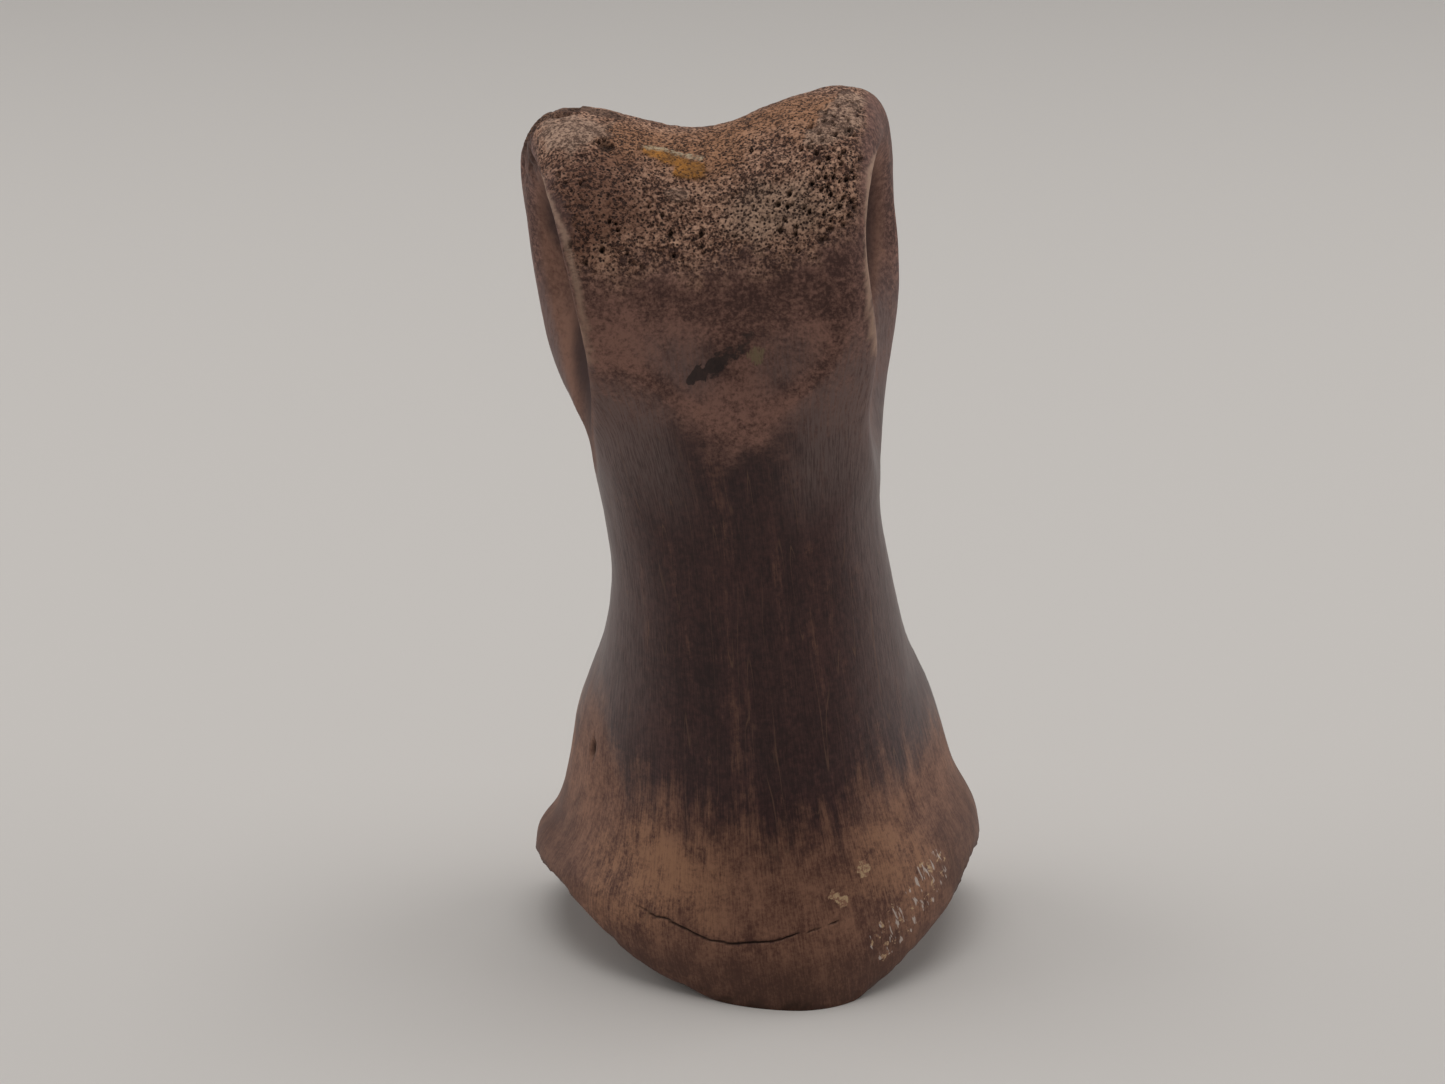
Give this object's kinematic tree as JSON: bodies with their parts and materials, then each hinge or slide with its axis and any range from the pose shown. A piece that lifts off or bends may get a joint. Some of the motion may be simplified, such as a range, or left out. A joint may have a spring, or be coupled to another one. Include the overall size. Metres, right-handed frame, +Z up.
{
  "type": "fossil dinosaur toe bone",
  "caption": "Fossil toe bone standing on its flared near end, with a waisted shaft, a grooved roller joint on top and ligament pits in its sides.",
  "frame": {"origin": "centre of the bone's box as seen from above, at the height of the surface it stands on", "axes": "+Z up the bone from its near end to its roller, -Y its front (extensor) side, +Y its back (flexor) side, +X its right in a view of the front"},
  "size_m": [0.0352, 0.0281, 0.0664],
  "materials": {
    "fossil_bone": "dark brown mineralised bone, satin on the shaft, rough and open-pored on the roller"
  },
  "bodies": {
    "root": {"toe_bone": "fossil_bone"}
  },
  "joints": []
}
